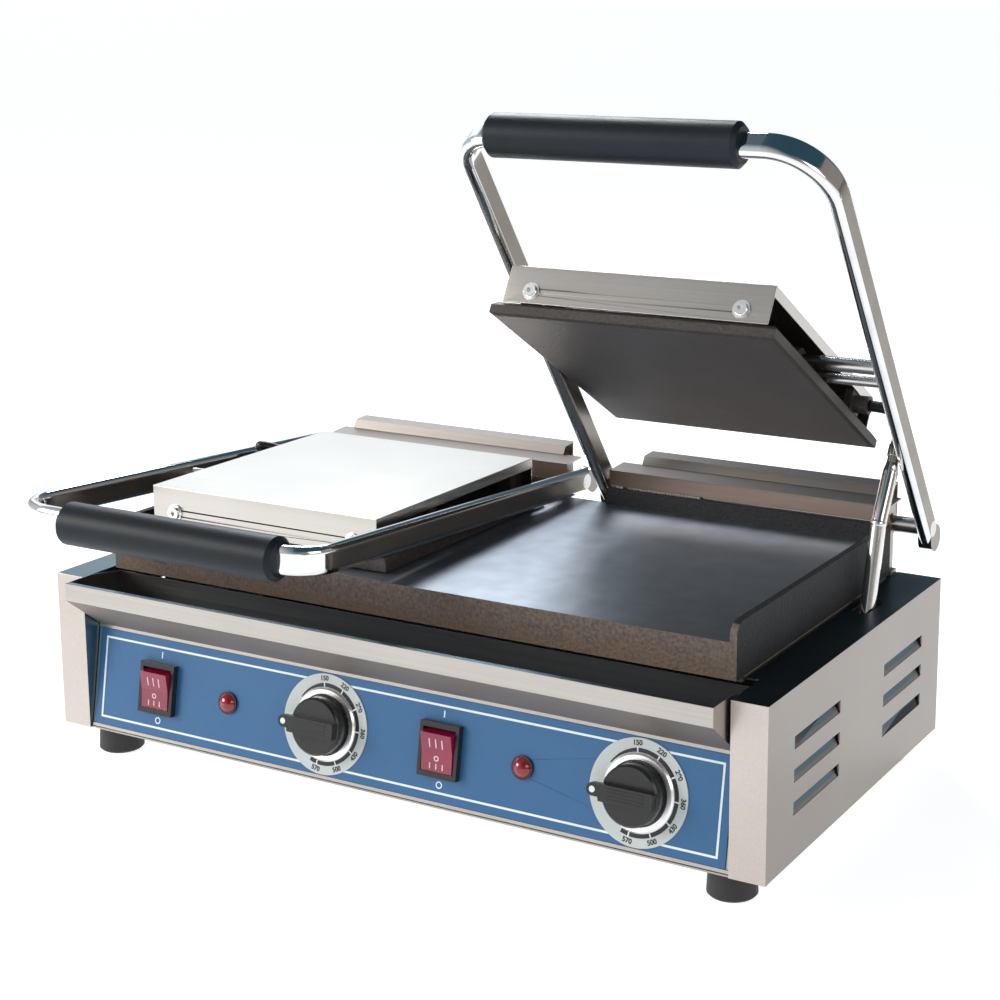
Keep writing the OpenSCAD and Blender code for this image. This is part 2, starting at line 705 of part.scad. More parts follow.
module head_elements() color("dimgray") for (y = [-72, 30])
    translate([press_x, y, plate_top + 3.5]) serpentine(2, 110, 42, 3.5);
module left_head_elements() press(-1) on_head(closed_angle) head_elements();
module right_head_elements() press(1) on_head(open_angle) head_elements();

// ---------------------------------------------------------------- wire conduits

// Places children at the pin that joins a conduit to its lever arm.
module conduit_pivot() translate([arm_out - tube_w / 2, -conduit_r * cos(conduit_lift),
    conduit_r * sin(conduit_lift)]) children();

// The pin's place in the cabinet frame, for a lever at the given angle.
function pin_at(angle) = [hinge_y - conduit_r * cos(angle + conduit_lift),
                          hinge_z + conduit_r * sin(angle + conduit_lift)];
// Lean of the conduit from upright, so that it points down through its hole.
function lean_at(angle) = atan2(pin_at(angle)[0] - hole_y, pin_at(angle)[1] - body_h);

// The space inside the conduit's surface, less a wall: an upper and a lower leg that meet in a
// round elbow a little fuller than they are, with both ends carried on by the given length.
module conduit_fill(inset, extra) {
    r = conduit_d / 2 - inset;
    elbow = -straight_len * [0, sin(kink / 2), cos(kink / 2)];
    rotate([-kink / 2, 0, 0]) rotate_extrude() polygon([[0, -straight_len],
        [r, -straight_len], [r, -16], [neck_r - inset, -9],
        [neck_r - inset, neck_end + extra], [0, neck_end + extra]]);
    translate(elbow) sphere(r = r + elbow_bead);
    translate(elbow) rotate([kink / 2, 0, 0]) translate([0, 0, straight_len - conduit_len - extra])
        cylinder(h = conduit_len - straight_len + extra, r = r);
}

// A bent tube on a pin, its lower leg running down through the slot in the flange.
module conduit(angle) color("gainsboro") cabinet()
    translate([conduit_x, pin_at(angle)[0], pin_at(angle)[1]]) rotate([-lean_at(angle), 0, 0]) {
        difference() {
            union() {
                conduit_fill(0, 0);
                rotate([-kink / 2, 0, 0]) translate([0, 0, -4]) cylinder(h = 8, r = collar_r);
            }
            conduit_fill(sheet, 1);
        }
        bar_x(neck_r - 0.5, arm_out - tube_w / 2 + 1.3 - conduit_x, conduit_pin_r);
    }
module left_conduit() mirror([1, 0, 0]) conduit(closed_angle);
module right_conduit() conduit(open_angle);

// Turns a (y, z) point of a head's own frame into the cabinet frame.
function head_at(angle, y, z) =
    let (a = angle, b = angle - closed_angle - head_drop * (angle - closed_angle) / open_turn,
         py = hinge_y - pivot_r * cos(a), pz = hinge_z + pivot_r * sin(a))
    [py + y * cos(b) + z * sin(b), pz - y * sin(b) + z * cos(b)];

function bezier(p, t) = pow(1 - t, 3) * p[0] + 3 * t * pow(1 - t, 2) * p[1]
    + 3 * t * t * (1 - t) * p[2] + pow(t, 3) * p[3];
function unit(v) = v / norm(v);

// A round cable swept along points, with closed ends.
module cable(points, r, sides) {
    n = len(points);
    function tangent(i) = unit(points[min(i + 1, n - 1)] - points[max(i - 1, 0)]);
    verts = [for (i = [0 : n - 1]) let (t = tangent(i), a = unit(cross(t, [0, 1, 0])),
        b = cross(a, t)) for (k = [0 : sides - 1])
        points[i] + r * cos(360 * k / sides) * a + r * sin(360 * k / sides) * b];
    lower_faces = [for (i = [0 : n - 2], k = [0 : sides - 1])
        [i * sides + k, i * sides + (k + 1) % sides, (i + 1) * sides + (k + 1) % sides]];
    upper_faces = [for (i = [0 : n - 2], k = [0 : sides - 1])
        [i * sides + k, (i + 1) * sides + (k + 1) % sides, (i + 1) * sides + k]];
    polyhedron(verts, concat(lower_faces, upper_faces, [[for (k = [sides - 1 : -1 : 0]) k]],
        [[for (k = [0 : sides - 1]) (n - 1) * sides + k]]), convexity = 4);
}

module head_cable(angle) color([0.08, 0.08, 0.08]) cabinet() {
    lean = lean_at(angle) + kink / 2;
    start = [conduit_x, pin_at(angle)[0] + (neck_end + gap) * sin(lean),
             pin_at(angle)[1] + (neck_end + gap) * cos(lean)];
    inlet = head_at(angle, inlet_y, inlet_z);
    finish = [press_x + inlet_out + gap, inlet[0], inlet[1]];
    p = [start, start + 20 * [0, sin(lean), cos(lean)], finish + [18, 0, 0], finish];
    cable([for (i = [0 : 12]) bezier(p, i / 12)], 4, 10);
}
module left_head_cable() mirror([1, 0, 0]) head_cable(closed_angle);
module right_head_cable() head_cable(open_angle);

left_side_panel();
right_side_panel();
rear_panel();
bottom_plate();
top_deck();
front_fascia();
control_overlay();
griddle_seal();
lower_griddle();
lower_elements();
element_clamps();
insulation_board();
drip_tray();
feet();
foot_screws();
panel_screws();
switch_housings();
left_rocker();
right_rocker();
lamp_bezels();
lamp_lenses();
dial_scales();
dial_bezels();
thermostats();
left_thermostat_shaft();
right_thermostat_shaft();
left_knob();
right_knob();
terminal_block();
mains_gland();
hinge_brackets();
hinge_bushings();
left_hinge_guard();
right_hinge_guard();
left_spring();
right_spring();
left_hinge_shaft();
right_hinge_shaft();
left_lever();
right_lever();
left_grip();
right_grip();
left_pivot_rod();
right_pivot_rod();
left_head_plate();
right_head_plate();
left_head_cover();
right_head_cover();
left_head_elements();
right_head_elements();
left_cover_screws();
right_cover_screws();
left_conduit();
right_conduit();
left_head_cable();
right_head_cable();
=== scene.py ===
# %% [markdown]
# A double contact grill. Its solid parts are already packed in metres, so this lesson loads
# them, gives each one the finish of the real thing, and adds the small printed, moulded and
# flexible pieces that a machinist's model leaves out.

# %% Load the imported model
import bpy
import json
import math
from mathutils import Matrix, Vector


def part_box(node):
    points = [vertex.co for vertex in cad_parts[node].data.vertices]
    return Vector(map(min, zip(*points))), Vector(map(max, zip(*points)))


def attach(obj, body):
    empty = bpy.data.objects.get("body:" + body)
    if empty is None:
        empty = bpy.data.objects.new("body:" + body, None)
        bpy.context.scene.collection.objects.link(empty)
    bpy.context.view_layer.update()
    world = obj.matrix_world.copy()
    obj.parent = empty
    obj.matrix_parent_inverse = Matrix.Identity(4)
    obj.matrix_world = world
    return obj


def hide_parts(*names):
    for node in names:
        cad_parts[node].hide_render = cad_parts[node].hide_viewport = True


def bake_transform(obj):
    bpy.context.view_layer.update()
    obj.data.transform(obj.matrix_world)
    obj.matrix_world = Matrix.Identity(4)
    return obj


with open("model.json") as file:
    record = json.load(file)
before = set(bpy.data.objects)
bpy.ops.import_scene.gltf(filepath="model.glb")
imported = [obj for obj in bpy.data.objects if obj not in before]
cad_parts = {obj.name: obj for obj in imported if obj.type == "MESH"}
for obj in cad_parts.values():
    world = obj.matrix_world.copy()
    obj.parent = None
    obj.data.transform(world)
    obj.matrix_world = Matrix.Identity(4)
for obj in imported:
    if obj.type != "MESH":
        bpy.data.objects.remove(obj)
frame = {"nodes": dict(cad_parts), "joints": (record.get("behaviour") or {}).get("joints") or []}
nodes = frame["nodes"]
joints = {joint["name"]: joint for joint in frame["joints"]}
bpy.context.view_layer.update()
MM = 0.001
SIDES = (("left", -1), ("right", 1))

# %% [markdown]
# The camera stands in front and to the right, a little above the lever of the closed press.
# A long lens from over a metre away keeps the cabinet's edges nearly parallel. The lens shift
# only frames the machine as a catalogue page would.

# %% Camera
AZIMUTH, TILT = math.radians(29.4), math.radians(11.7)
looking = Vector((-math.sin(AZIMUTH) * math.cos(TILT), math.cos(AZIMUTH) * math.cos(TILT),
                  -math.sin(TILT)))
lens = bpy.data.cameras.new("catalogue_lens")
lens.lens, lens.sensor_width = 71.63, 36.0
lens.shift_x, lens.shift_y = -0.0816, -0.0987
lens.clip_end = 200.0
camera = bpy.data.objects.new("catalogue_camera", lens)
camera.location = (0.7398, -1.1649, 0.5556)
camera.rotation_euler = looking.to_track_quat("-Z", "Y").to_euler()
bpy.context.scene.collection.objects.link(camera)
bpy.context.scene.camera = camera
print("camera looks along", tuple(round(value, 3) for value in looking))

# %% [markdown]
# Steel, iron and rubber all need numbers that vary over a surface. A finish is built from
# fields: a field is one number at every point, and ordinary sums on fields add the maths
# nodes, so a recipe reads like the sentence that describes it.

# %% Fields and finishes
class Field:
    """One number at every point of a surface, with sums that add maths nodes."""

    def __init__(self, finish, socket):
        self.finish, self.socket = finish, socket

    def _sum(self, operation, first, second):
        return self.finish.node("ShaderNodeMath", {"operation": operation},
                                {0: first, 1: second})

    def __add__(self, other): return self._sum("ADD", self, other)
    def __radd__(self, other): return self._sum("ADD", other, self)
    def __sub__(self, other): return self._sum("SUBTRACT", self, other)
    def __rsub__(self, other): return self._sum("SUBTRACT", other, self)
    def __mul__(self, other): return self._sum("MULTIPLY", self, other)
    def __gt__(self, other): return self._sum("GREATER_THAN", self, other)
    def __lt__(self, other): return self._sum("LESS_THAN", self, other)


def opaque(colour):
    """A colour with its alpha added; a field already carries its own."""
    return colour if isinstance(colour, Field) else (*colour, 1.0)


class Graph:
    """A node tree whose fields all start from one place."""

    def node(self, kind, settings, sockets, output=0):
        made = self.tree.nodes.new(kind)
        for key, value in settings.items():
            if key == "stops":
                for stop, (position, grey) in zip(made.color_ramp.elements, value):
                    stop.position, stop.color = position, (grey, grey, grey, 1.0)
            else:
                setattr(made, key, value)
        for key, value in sockets.items():
            if isinstance(value, Field):
                self.tree.links.new(value.socket, made.inputs[key])
            else:
                made.inputs[key].default_value = value
        return Field(self, made.outputs[output])

    def noise(self, scale, stretch=(1, 1, 1), detail=3.0):
        spot = self.node("ShaderNodeMapping", {}, {"Vector": self.place, "Scale": stretch})
        return self.node("ShaderNodeTexNoise", {}, {"Vector": spot, "Scale": scale,
                                                    "Detail": detail})

    def ramp(self, field, low, high):
        return self.node("ShaderNodeValToRGB", {"stops": ((low, 0.0), (high, 1.0))},
                         {"Fac": field})

    def mix(self, mask, first, second):
        """The first colour where the mask is 0, and the second where it is 1."""
        return self.node("ShaderNodeMix", {"data_type": "RGBA"},
                         {0: mask, 6: opaque(first), 7: opaque(second)}, 2)

    def axis(self, name):
        return self.node("ShaderNodeSeparateXYZ", {}, {0: self.place}, name)


class Finish(Graph):
    """A material with one Principled shader, driven by fields."""

    def __init__(self, name, **fixed):
        self.name, self.material = name, bpy.data.materials.new(name)
        self.material.use_nodes = True
        self.tree = self.material.node_tree
        self.surface = self.tree.nodes["Principled BSDF"]
        self.place = self.node("ShaderNodeTexCoord", {}, {}, "Object")
        for socket, value in fixed.items():
            self.surface.inputs[socket.replace("_", " ")].default_value = value

    def drive(self, socket, field):
        self.tree.links.new(field.socket, self.surface.inputs[socket])

    def facing(self, name):
        outward = self.node("ShaderNodeNewGeometry", {}, {}, "True Normal")
        return self.node("ShaderNodeSeparateXYZ", {}, {0: outward}, name)

    def relief(self, field, depth):
        self.drive("Normal", self.node("ShaderNodeBump", {}, {
            "Height": field, "Strength": 1.0, "Distance": depth}))


finishes = {}


def keep(finish):
    finishes[finish.name] = finish.material
    return finish


print("finishes can be made")

# %% [markdown]
# Stainless sheet is rolled, then brushed along its length, so its grain is long fine streaks:
# noise squeezed across the grain and stretched along it. The streaks move the tone and the
# gloss together, and a cloudy second noise keeps the broad faces from looking printed.

# %% Brushed stainless
GRAIN = {"x": (4, 900, 900), "y": (900, 4, 900), "z": (900, 900, 4)}


def stainless(name, along, light, dark, roughness=0.3):
    steel = Finish(name, Metallic=1.0)
    streaks = steel.noise(1.0, GRAIN[along], 4.0)
    clouds = steel.noise(9.0)
    tone = streaks * 0.55 + clouds * 0.45
    steel.drive("Base Color", steel.mix(steel.ramp(tone, 0.3, 0.7), dark, light))
    steel.drive("Roughness", streaks * 0.08 + clouds * 0.06 + (roughness - 0.07))
    steel.relief(streaks, 0.000006)
    return keep(steel)


stainless("brushed_cover", "x", (0.60, 0.57, 0.53), (0.52, 0.49, 0.46), 0.25)
stainless("brushed_back", "x", (0.50, 0.47, 0.44), (0.40, 0.37, 0.35), 0.36)
stainless("zinc_plate", "y", (0.46, 0.45, 0.43), (0.34, 0.33, 0.32), 0.42)
stainless("oxidised_sheath", "x", (0.16, 0.14, 0.12), (0.09, 0.08, 0.07), 0.5)
print("sheet finishes:", sorted(finishes))

# %% [markdown]
# The fascia is folded from the same sheet: its lip is bright, and the band under the lip slopes
# down and is painted darker as painted shade. Faces that look up, the channel behind the lip
# among them, are painted dark blue: a painted reflection of the deep blue ceiling.

# %% Fascia and trough
def fascia_sheet():
    steel = Finish("fascia_sheet", Metallic=1.0)
    streaks = steel.noise(1.0, GRAIN["x"], 4.0)
    clouds = steel.noise(9.0)
    tone = steel.ramp(streaks * 0.55 + clouds * 0.45, 0.3, 0.7)
    lip = steel.mix(tone, (0.41, 0.38, 0.35), (0.51, 0.475, 0.44))
    # Faces that look down get a darker copy of the lip tone: painted shade.
    shade = steel.mix(tone, (0.23, 0.20, 0.185), (0.31, 0.275, 0.25))
    # Faces that look up get dark blue: a painted reflection of the deep blue ceiling.
    painted_reflection_up = steel.mix(tone, (0.048, 0.082, 0.112), (0.078, 0.122, 0.158))
    under = steel.facing("Z") < -0.08
    upward = steel.facing("Z") > 0.3
    colour = steel.mix(under, lip, shade)
    steel.drive("Base Color", steel.mix(upward, colour, painted_reflection_up))
    steel.drive("Roughness", streaks * 0.16 + under * 0.26 + 0.24)
    steel.relief(streaks, 0.000006)
    return keep(steel)


fascia_sheet()

# %% [markdown]
# The side panels are one bent sheet, but it shows three faces: a warm post in front, painted
# lighter as painted light, a wall with pressed louvers, painted darker as painted shade, and a
# top flange painted dark blue as a painted reflection of the dark griddle beside it. Inner faces
# get a teal painted reflection as well. Masks from the face's direction and depth choose the
# tone, so the sheet stays a single piece.

# %% Side panels
SHEET, FLANGE = 1.5 * MM, 4 * MM
panel_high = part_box("right_side_panel")[1]
wall_x, flange_z = panel_high.x - SHEET, panel_high.z - FLANGE


def cabinet_side():
    steel = Finish("side_sheet", Metallic=1.0)
    streaks = steel.noise(1.0, GRAIN["y"], 4.0)
    clouds = steel.noise(7.0)
    tone = steel.ramp(streaks * 0.4 + clouds * 0.6, 0.3, 0.7)
    # The wall tone is painted shade and the front post tone is painted light: lit and shaded
    # copies of one sheet.
    wall = steel.mix(tone, (0.28, 0.25, 0.23), (0.35, 0.315, 0.29))
    lit_post = steel.mix(tone, (0.46, 0.41, 0.375), (0.60, 0.54, 0.50))
    front = steel.facing("Y") < -0.5
    across = steel.axis("X")
    inside = (across < wall_x) * (across > -wall_x)
    flap = inside * (1.0 - front) * (steel.axis("Z") < flange_z)
    # Inner faces get a teal tone and the flange top a dark blue one: both are painted reflection.
    painted_reflection_inner = steel.mix(tone, (0.12, 0.21, 0.27), (0.19, 0.29, 0.36))
    top = steel.facing("Z") > 0.9
    painted_reflection_top = steel.mix(tone, (0.025, 0.05, 0.065), (0.05, 0.10, 0.13))
    colour = steel.mix(front, wall, lit_post)
    colour = steel.mix(flap, colour, painted_reflection_inner)
    steel.drive("Base Color", steel.mix(top * (steel.axis("Z") > flange_z), colour, painted_reflection_top))
    steel.drive("Roughness", streaks * 0.14 + clouds * 0.08 + 0.24)
    steel.relief(streaks, 0.000006)
    return keep(steel)


cabinet_side()
print("side panel wall at", round(wall_x, 4))

# %% [markdown]
# The guards behind the griddle are plain sheet. Heat has tinted the strip nearest the plate
# to a rosy tan, while the raised top stays grey.

# %% Hinge guards
guard_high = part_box("right_hinge_guard")[1]


def guard_sheet():
    steel = Finish("guard_sheet", Metallic=1.0)
    streaks = steel.noise(1.0, GRAIN["x"], 4.0)
    height = steel.axis("Z") + (steel.noise(30.0) - 0.5) * 0.002
    grey = steel.mix(streaks, (0.30, 0.27, 0.25), (0.38, 0.345, 0.315))
    tinted = steel.mix(streaks, (0.52, 0.38, 0.31), (0.60, 0.44, 0.36))
    raised = steel.ramp((height - guard_high.z) * 50.0 + 0.9, 0.35, 0.5)
    colour = steel.mix(raised, tinted, grey)
    # Faces that look up are painted a dark warm grey: painted shade.
    upward = steel.facing("Z") > 0.6
    steel.drive("Base Color", steel.mix(upward, colour, (0.19, 0.165, 0.15)))
    steel.drive("Roughness", streaks * 0.07 + 0.28)
    steel.relief(streaks, 0.000006)
    return keep(steel)


guard_sheet()

# %% [markdown]
# Chrome on the levers is a mirror with faint fingerprints: almost no colour, and a little
# extra roughness in soft patches.

# %% Chrome
def chrome(name, tone, roughness, flank=None):
    """Chrome plate; a flank tone gives the flat faces across the machine a dull grain."""
    plate = Finish(name, Metallic=1.0)
    smudge = plate.ramp(plate.noise(22.0, detail=5.0), 0.45, 0.75)
    colour = plate.mix(smudge, tone, tuple(0.86 * part for part in tone))
    gloss = smudge * 0.1 + roughness
    if flank:
        sideways = plate.facing("X")
        flat = (sideways > 0.97) + (sideways < -0.97)
        colour = plate.mix(flat, colour, flank)
        gloss = gloss + flat * (plate.noise(140.0) * 0.12 + 0.18)
    plate.drive("Base Color", colour)
    plate.drive("Roughness", gloss)
    return keep(plate)


chrome("chrome_tube", (0.80, 0.80, 0.81), 0.07, (0.27, 0.245, 0.215))
chrome("chrome_round", (0.80, 0.78, 0.76), 0.12)
chrome("chrome_trim", (0.90, 0.90, 0.90), 0.26)
chrome("turned_steel", (0.62, 0.61, 0.60), 0.24)
print("chrome kept")

# %% [markdown]
# The griddle is one iron casting with two skins. Its front and walls are as cast and rough; the
# front is brown and speckled with rust, and the walls are painted near black, which is painted
# shade. The cooking surface is ground, then seasoned with oil into a satin blue-black film. The
# mask between them is the height and direction of each face.

# %% Iron
FACE_DEPTH, RUST_RISE = 12 * MM, 16 * MM
plate_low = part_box("lower_griddle")[0]
cooking_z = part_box("left_head_plate")[0].z


def griddle_iron():
    iron = Finish("griddle_iron", Metallic=0.0, Specular_IOR_Level=0.5)
    sand = iron.noise(420.0, detail=6.0)
    patches = iron.noise(60.0, detail=4.0)
    specks = iron.ramp(iron.noise(900.0, detail=2.0), 0.55, 0.7)
    front = (iron.facing("Y") < -0.5) * (iron.axis("Y") < plate_low.y + FACE_DEPTH)
    height = iron.axis("Z")
    ground = (iron.facing("Z") > 0.9) * (height < cooking_z + 2 * MM)
    cast = iron.mix(iron.ramp(sand, 0.35, 0.65), (0.090, 0.068, 0.054), (0.175, 0.137, 0.113))
    rust = iron.mix(specks, (0.19, 0.115, 0.070), (0.30, 0.22, 0.165))
    low = iron.ramp((plate_low.z + RUST_RISE - height) * 60.0 + (patches - 0.5) * 1.6, 0.1, 0.9)
    face = iron.mix(low * 0.55, cast, rust)
    # The walls' near-black tone is painted shade.
    wall = iron.mix(iron.ramp(sand, 0.3, 0.7), (0.010, 0.011, 0.013), (0.030, 0.031, 0.034))
    oil = iron.mix(iron.ramp(patches, 0.3, 0.7), (0.225, 0.255, 0.300), (0.285, 0.315, 0.360))
    colour = iron.mix(front, wall, face)
    iron.drive("Base Color", iron.mix(ground, colour, oil))
    rough = 0.62 + sand * 0.2
    satin = 0.38 + patches * 0.08
    iron.drive("Roughness", rough + ground * (satin - rough))
    iron.drive("Metallic", ground * 0.85)
    iron.relief((sand * 0.8 + specks * 0.2) * (1.0 - ground) + sand * ground * 0.012, 0.0009)
    return keep(iron)


def head_iron():
    iron = Finish("head_iron")
    sand = iron.noise(520.0, detail=6.0)
    patches = iron.noise(26.0, detail=4.0)
    tone = iron.ramp(sand * 0.6 + patches * 0.4, 0.35, 0.65)
    iron.drive("Base Color", iron.mix(tone, (0.040, 0.034, 0.032), (0.085, 0.074, 0.070)))
    iron.drive("Roughness", 0.42 + sand * 0.22)
    iron.drive("Metallic", patches * 0.5 + 0.2)
    iron.relief(sand, 0.0003)
    return keep(iron)


griddle_iron()
head_iron()
print("cooking surface at", round(cooking_z, 4))

# %% [markdown]
# Moulded and painted pieces differ mostly in gloss and in the size of their texture, so one
# recipe serves them all: two close tones, a mottled gloss and a fine relief.

# %% Mouldings, paint and fibre
def moulded(name, tone, other, roughness, grain, depth, **fixed):
    skin = Finish(name, **fixed)
    grains = skin.noise(grain, detail=4.0)
    patches = skin.noise(30.0)
    skin.drive("Base Color", skin.mix(skin.ramp(grains * 0.5 + patches * 0.5, 0.3, 0.7),
                                      tone, other))
    skin.drive("Roughness", grains * 0.12 + patches * 0.1 + (roughness - 0.11))
    skin.relief(grains, depth)
    return keep(skin)


moulded("grip_rubber", (0.007, 0.010, 0.015), (0.013, 0.018, 0.026), 0.42, 900, 0.00018,
        Specular_IOR_Level=0.2)
moulded("foot_rubber", (0.012, 0.012, 0.012), (0.024, 0.024, 0.024), 0.6, 700, 0.0003)
moulded("black_moulding", (0.008, 0.008, 0.009), (0.016, 0.016, 0.017), 0.3, 1200, 0.00008)
moulded("cable_sheath", (0.010, 0.010, 0.010), (0.022, 0.021, 0.020), 0.38, 800, 0.00012)
moulded("panel_blue", (0.017, 0.105, 0.255), (0.022, 0.120, 0.280), 0.40, 500, 0.00005,
        Coat_Weight=0.1, Coat_Roughness=0.2)
moulded("panel_white", (0.78, 0.86, 0.88), (0.70, 0.79, 0.82), 0.45, 900, 0.00003)
moulded("dial_grey", (0.50, 0.54, 0.54), (0.56, 0.60, 0.60), 0.4, 900, 0.00003)
moulded("dial_black", (0.010, 0.011, 0.014), (0.018, 0.019, 0.022), 0.4, 900, 0.00003)
moulded("rocker_red", (0.14, 0.003, 0.024), (0.24, 0.006, 0.045), 0.16, 300, 0.00005,
        Coat_Weight=0.6, Coat_Roughness=0.06, Emission_Strength=0.08,
        Emission_Color=(0.5, 0.01, 0.07, 1.0))
moulded("rocker_marks", (0.80, 0.52, 0.60), (0.88, 0.66, 0.72), 0.3, 300, 0.00003)
moulded("lamp_rim", (0.030, 0.004, 0.006), (0.050, 0.006, 0.010), 0.3, 300, 0.00004)
moulded("lamp_red", (0.20, 0.002, 0.010), (0.30, 0.004, 0.016), 0.12, 300, 0.00004,
        Coat_Weight=0.7, Coat_Roughness=0.05)
moulded("woven_seal", (0.46, 0.40, 0.31), (0.62, 0.55, 0.44), 0.9, 600, 0.0006)
moulded("insulation_board", (0.62, 0.58, 0.46), (0.72, 0.68, 0.56), 0.85, 300, 0.0005)
moulded("ceramic", (0.70, 0.68, 0.62), (0.78, 0.76, 0.70), 0.3, 400, 0.00008)
moulded("bearing_bronze", (0.46, 0.30, 0.14), (0.56, 0.38, 0.19), 0.35, 700, 0.00006,
        Metallic=1.0)
moulded("floor_white", (0.60, 0.60, 0.60), (0.62, 0.62, 0.62), 0.9, 3, 0.00001,
        Emission_Color=(0.98, 0.99, 1.0, 1.0), Emission_Strength=0.84)
print(len(finishes), "finishes kept")

# %% [markdown]
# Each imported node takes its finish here. Sheet edges, casting edges and mouldings are never
# razor sharp on the real machine, and the thin bright line along a bend is what makes sheet
# metal look like sheet metal, so the visible nodes get a small bevel as well.

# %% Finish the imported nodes
FINISH_OF = {
    "side_sheet": "left_side_panel right_side_panel",
    "fascia_sheet": "front_fascia drip_tray top_deck",
    "brushed_cover": "left_head_cover right_head_cover",
    "brushed_back": "rear_panel",
    "zinc_plate": "bottom_plate foot_screws element_clamps hinge_brackets left_spring"
                  " right_spring",
    "oxidised_sheath": "lower_elements left_head_elements right_head_elements",
    "chrome_tube": "left_lever right_lever",
    "chrome_round": "left_conduit right_conduit",
    "chrome_trim": "dial_bezels left_cover_screws right_cover_screws panel_screws",
    "turned_steel": "left_hinge_shaft right_hinge_shaft left_pivot_rod right_pivot_rod"
                    " left_thermostat_shaft right_thermostat_shaft",
    "griddle_iron": "lower_griddle",
    "head_iron": "left_head_plate right_head_plate",
    "guard_sheet": "left_hinge_guard right_hinge_guard",
    "grip_rubber": "left_grip right_grip",
    "foot_rubber": "feet",
    "lamp_rim": "lamp_bezels",
    "black_moulding": "switch_housings left_knob right_knob mains_gland",
    "panel_blue": "control_overlay",
    "rocker_red": "left_rocker right_rocker",
    "lamp_red": "lamp_lenses",
    "dial_grey": "dial_scales",
    "bearing_bronze": "hinge_bushings",
    "woven_seal": "griddle_seal",
    "insulation_board": "insulation_board",
    "ceramic": "thermostats terminal_block",
    "cable_sheath": "left_head_cable right_head_cable",
}
for finish_name, members in FINISH_OF.items():
    for member in members.split():
        nodes[member].data.materials.clear()
        nodes[member].data.materials.append(finishes[finish_name])

EDGE_OF = {
    0.5: "left_side_panel right_side_panel front_fascia drip_tray left_head_cover"
         " right_head_cover left_hinge_guard right_hinge_guard",
    0.3: "left_cover_screws right_cover_screws switch_housings control_overlay",
    0.9: "lower_griddle left_head_plate right_head_plate left_knob right_knob",
}


def soften(node, width):
    weld = node.modifiers.new("weld", "WELD")
    weld.merge_threshold = 0.00001
    bevel = node.modifiers.new("soft_edge", "BEVEL")
    bevel.width, bevel.segments = width, 2
    bevel.limit_method, bevel.angle_limit = "ANGLE", math.radians(40)
    bevel.harden_normals = True


for width, members in EDGE_OF.items():
    for member in members.split():
        soften(nodes[member], width * MM)
print("finished", sum(len(members.split()) for members in FINISH_OF.values()), "nodes")

# %% [markdown]
# Printed and moulded details are thin slabs: an outline on the panel, raised by a hair. They
# are drawn in the panel's own frame, which comes from the axis that each dial turns about.

# %% Drawing on the panel
def panel_frame(joint_name, proud):
    """Origin on the joint, moved back to the panel face: x across, y up the slope, z out."""
    joint = joints[joint_name]
    dial_axis = Vector(joints["left_thermostat_turn"]["axis"])
    outward = -dial_axis.normalized()
    across = Vector((1, 0, 0))
    turn = Matrix((across, outward.cross(across), outward)).transposed().to_4x4()
    return Matrix.Translation(Vector(joint["pos_m"]) - outward * proud) @ turn


def slab(outlines, low, high):
    """A closed thin mesh raised from each outline of (x, y) points, given in millimetres."""
    corners, faces = [], []
    for outline in outlines:
        first, count = len(corners), len(outline)
        corners += [(x * MM, y * MM, low * MM) for x, y in outline]
        corners += [(x * MM, y * MM, high * MM) for x, y in outline]
        faces.append([first + i for i in reversed(range(count))])
        faces.append([first + count + i for i in range(count)])
        faces += [[first + i, first + (i + 1) % count, first + count + (i + 1) % count,
                   first + count + i] for i in range(count)]
    made = bpy.data.meshes.new("slab")
    made.from_pydata(corners, [], faces)
    return made


def sector(inner, outer, start, stop, steps=24):
    """The outline of part of a ring, from one angle to another in degrees."""
    turns = [math.radians(start + (stop - start) * i / steps) for i in range(steps + 1)]
    rim = [(outer * math.cos(turn), outer * math.sin(turn)) for turn in turns]
    return rim + [(inner * math.cos(turn), inner * math.sin(turn)) for turn in reversed(turns)]


def bar(left, right, low, high):
    return [(left, low), (right, low), (right, high), (left, high)]


def piece(name, mesh, finish, body, place=None):
    mesh.validate()
    mesh.materials.append(finishes[finish])
    made = bpy.data.objects.new(name, mesh)
    bpy.context.scene.collection.objects.link(made)
    if place is not None:
        mesh.transform(place)
    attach(made, body)
    return made


print("panel leans", round(math.degrees(math.acos(panel_frame("left_rocker_tip", 0)[2][1])), 1))

# %% [markdown]
# The blue panel carries one white pinstripe just inside its edge. The dials are printed over
# it, so the stripe simply passes behind them.

# %% Pinstripe
DIAL_LIFT, ROCKER_LIFT = 10 * MM, 0.5 * MM
overlay_low, overlay_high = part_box("control_overlay")
dial_place = {side: panel_frame(f"{side}_thermostat_turn", DIAL_LIFT) for side, _ in SIDES}
dial_x = {side: dial_place[side].translation.x / MM for side, _ in SIDES}
half_height = 0.5 * (overlay_high.z - overlay_low.z) / MM
STRIPE_W, STRIPE_IN_X, STRIPE_IN_Y = 1.5, 5.5, 5.0
PRINT_LOW, PRINT_HIGH = 0.02, 0.1
stripe_half_w = overlay_high.x / MM - STRIPE_IN_X
stripe_half_h = half_height - STRIPE_IN_Y
middle = -dial_x["left"]
left_edge, right_edge = middle - stripe_half_w, middle + stripe_half_w
stripes = [bar(left_edge, right_edge, stripe_half_h - STRIPE_W, stripe_half_h),
           bar(left_edge, right_edge, -stripe_half_h, STRIPE_W - stripe_half_h),
           bar(left_edge, left_edge + STRIPE_W, STRIPE_W - stripe_half_h,
               stripe_half_h - STRIPE_W),
           bar(right_edge - STRIPE_W, right_edge, STRIPE_W - stripe_half_h,
               stripe_half_h - STRIPE_W)]
piece("panel_pinstripe", slab(stripes, PRINT_LOW, PRINT_HIGH), "panel_white", "cabinet",
      dial_place["left"])
print("pinstripe runs", round(2 * stripe_half_w), "by", round(2 * stripe_half_h), "mm")

# %% [markdown]
# Each dial plate is a grey ring of numbers round a black ring. The black ring breaks at every
# number, and tapers away between the last number and the off position. Numbers on the upper
# half stand on the ring; those on the lower half hang from it, so that all can be read.

